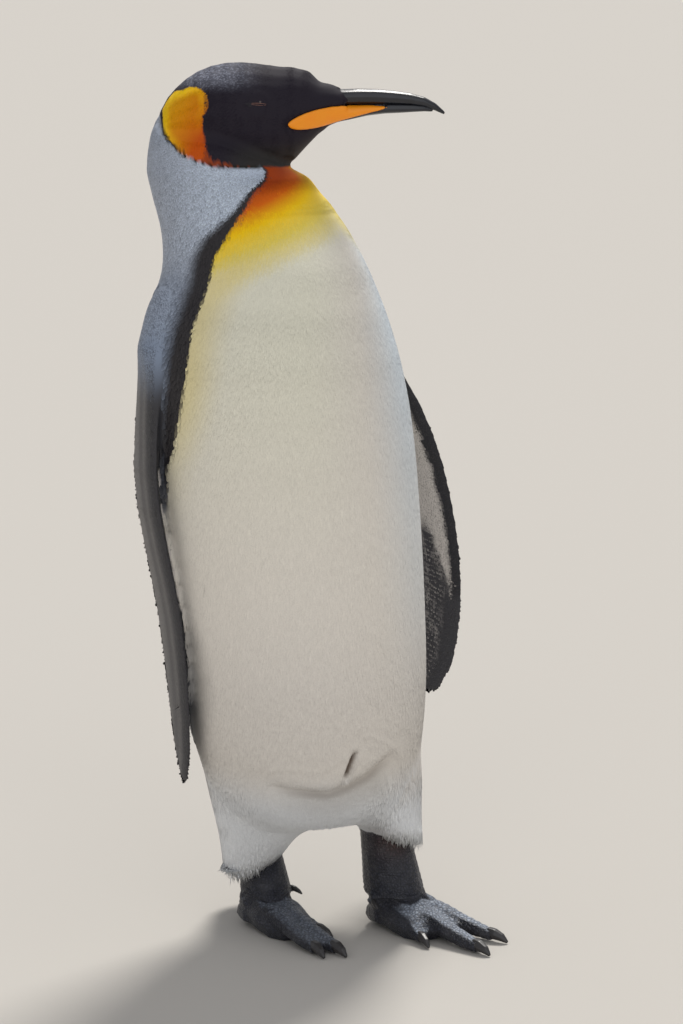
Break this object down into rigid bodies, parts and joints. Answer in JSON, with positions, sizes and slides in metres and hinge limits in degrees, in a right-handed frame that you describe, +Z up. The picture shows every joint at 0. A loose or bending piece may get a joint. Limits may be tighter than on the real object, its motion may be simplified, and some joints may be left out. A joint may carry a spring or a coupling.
{
  "type": "king penguin",
  "caption": "Life-size still model of an adult king penguin standing upright, head turned to its left, one foot a step ahead.",
  "frame": {"origin": "on the floor under the middle of the bird's bounding box", "axes": "+Z up, -Y the way the breast faces, +X towards the bird's left side"},
  "size_m": [0.3586, 0.2948, 0.7593],
  "materials": {
    "white_plumage": "silky white feathers",
    "back_plumage": "blue-grey scale-like feathers",
    "hood_plumage": "short velvety black feathers",
    "bill": "satin black horn",
    "bill_plate": "waxy orange horn",
    "eye": "wet dark brown",
    "flipper": "short stiff scale-like feathers",
    "foot_skin": "wrinkled charcoal skin",
    "claw": "worn black horn"
  },
  "bodies": {
    "root": {"trunk": "white_plumage", "neck": "back_plumage", "tail": "back_plumage", "head": "hood_plumage", "bill_upper": "bill", "bill_lower": "bill", "plate_left": "bill_plate", "eye_left": "eye", "flipper_left": "flipper", "leg_left": "white_plumage", "tarsus_left": "foot_skin", "foot_left": "foot_skin", "claw_inner_left": "claw", "claw_middle_left": "claw", "claw_outer_left": "claw", "claw_hind_left": "claw", "plate_right": "bill_plate", "eye_right": "eye", "flipper_right": "flipper", "leg_right": "white_plumage", "tarsus_right": "foot_skin", "foot_right": "foot_skin", "claw_inner_right": "claw", "claw_middle_right": "claw", "claw_outer_right": "claw", "claw_hind_right": "claw"}
  },
  "joints": []
}
